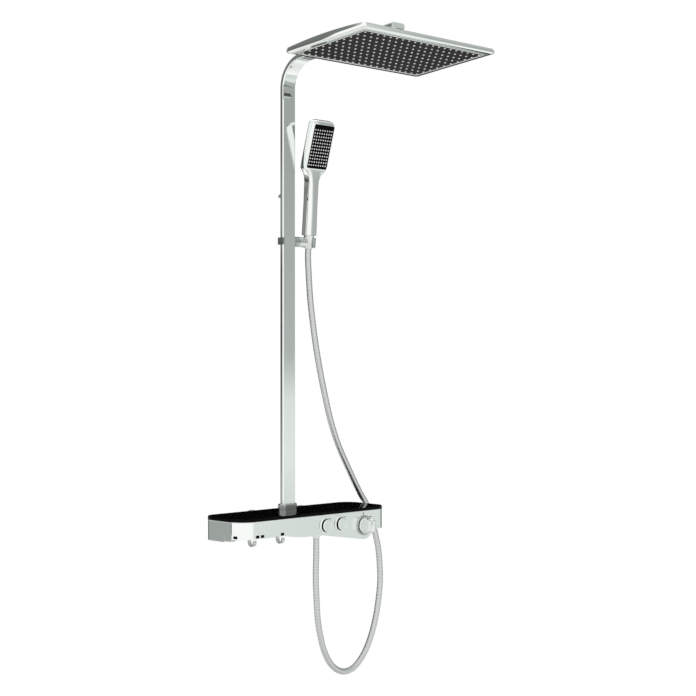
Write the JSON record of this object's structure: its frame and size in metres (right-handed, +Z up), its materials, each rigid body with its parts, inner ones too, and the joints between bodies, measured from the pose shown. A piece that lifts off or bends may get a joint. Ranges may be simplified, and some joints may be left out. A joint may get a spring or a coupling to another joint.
{
  "type": "thermostatic shower system",
  "caption": "Wall mounted shower system: glass topped shelf mixer, flat riser with a wide overhead shower, and a hand shower on a sliding holder.",
  "frame": {"origin": "on the finished wall's plane, midway between the two supply inlets, at the height of their axes", "axes": "+X to the right as seen by a person who faces the wall, +Y into the wall, +Z up"},
  "size_m": [0.5109, 0.5022, 1.4471],
  "materials": {
    "chrome": "polished chrome plate",
    "chromed_plastic": "chrome plated plastic shell",
    "hose_metal": "bright ribbed metal sleeve over a plastic hose",
    "black_glass": "polished black toughened glass",
    "black_plastic": "satin black",
    "white_silicone": "soft white silicone",
    "black_rubber": "moulded rubber",
    "brass": "machined brass",
    "steel": "stamped stainless steel",
    "grey_plastic": "moulded grey plastic"
  },
  "bodies": {
    "fixed": {"shelf_housing": "chrome", "glass_gasket": "black_rubber", "glass_shelf": "black_glass", "chassis": "steel", "valve_body": "brass", "wall_roses": "chrome", "inlet_unions": "brass", "union_nuts": "chrome", "inlet_washers": "black_rubber", "check_valves": "grey_plastic", "thermostat_cartridge": "brass", "stop_ring": "grey_plastic", "knob_ring": "chrome", "push_cartridges": "brass", "button_rings": "chrome", "hook_rail": "chrome", "rail_end_cap": "chrome", "rail_screws": "steel", "riser_socket": "brass", "riser_seal": "black_rubber", "riser_collar": "chrome", "riser_tube": "chrome", "riser_lug": "chrome", "arm_end_cap": "chrome", "arm_boss": "chrome", "hose_nut": "chrome", "nut_washer": "black_rubber", "hose": "hose_metal"},
    "knob": {"thermostat_knob": "chrome"},
    "safety": {"safety_button": "black_plastic"},
    "push_head": {"push_button_head": "chrome"},
    "push_hand": {"push_button_hand": "chrome"},
    "left_hook": {"hook_left": "chrome"},
    "right_hook": {"hook_right": "chrome"},
    "stud": {"ball_stud": "chrome"},
    "head": {"swivel_nut": "chrome", "swivel_seat": "grey_plastic", "head_cover": "chrome", "head_frame": "chrome", "head_face": "black_plastic", "head_nozzles": "white_silicone"},
    "slider": {"slider_body": "chrome", "slider_pad": "black_plastic"},
    "holder": {"holder_ring": "chrome"},
    "handset": {"handset_body": "chromed_plastic", "handset_face": "black_plastic", "handset_nozzles": "white_silicone", "handset_inlet": "brass", "hose_cone": "chrome", "cone_washer": "black_rubber"}
  },
  "joints": [
    {"name": "knob_turn", "type": "hinge", "parent": "fixed", "child": "knob", "pos_m": [0.145, -0.141, -0.014], "axis": [0, -1, 0], "range_deg": [-110, 150]},
    {"name": "safety_press", "type": "slide", "parent": "knob", "child": "safety", "axis": [0, 0, -1], "range_m": [0, 0.0012], "stiffness_N_per_m": 400, "springref_m": -0.001},
    {"name": "head_button_press", "type": "slide", "parent": "fixed", "child": "push_head", "axis": [0, 1, 0], "range_m": [0, 0.003], "stiffness_N_per_m": 800, "springref_m": -0.001},
    {"name": "hand_button_press", "type": "slide", "parent": "fixed", "child": "push_hand", "axis": [0, 1, 0], "range_m": [0, 0.003], "stiffness_N_per_m": 800, "springref_m": -0.001},
    {"name": "left_hook_slide", "type": "slide", "parent": "fixed", "child": "left_hook", "axis": [1, 0, 0], "range_m": [0, 0.035]},
    {"name": "right_hook_slide", "type": "slide", "parent": "fixed", "child": "right_hook", "axis": [1, 0, 0], "range_m": [-0.03, 0.005]},
    {"name": "head_swivel", "type": "hinge", "parent": "fixed", "child": "stud", "pos_m": [0, -0.36593, 1.04421], "axis": [0, 0.0958, 0.9954], "range_deg": [-90, 90]},
    {"name": "head_tilt", "type": "hinge", "parent": "stud", "child": "head", "pos_m": [0, -0.36593, 1.04421], "axis": [1, 0, 0], "range_deg": [-10, 10]},
    {"name": "slider_height", "type": "slide", "parent": "fixed", "child": "slider", "axis": [0, 0, 1], "range_m": [-0.3, 0.07], "deforming": ["hose"]},
    {"name": "holder_tilt", "type": "hinge", "parent": "slider", "child": "holder", "pos_m": [0.066, -0.04, 0.634], "axis": [1, 0, 0], "range_deg": [-8, 35], "deforming": ["hose"]},
    {"name": "handset_lift", "type": "slide", "parent": "holder", "child": "handset", "axis": [0, -0.0698, 0.9976], "range_m": [0, 0.06], "deforming": ["hose"]}
  ]
}
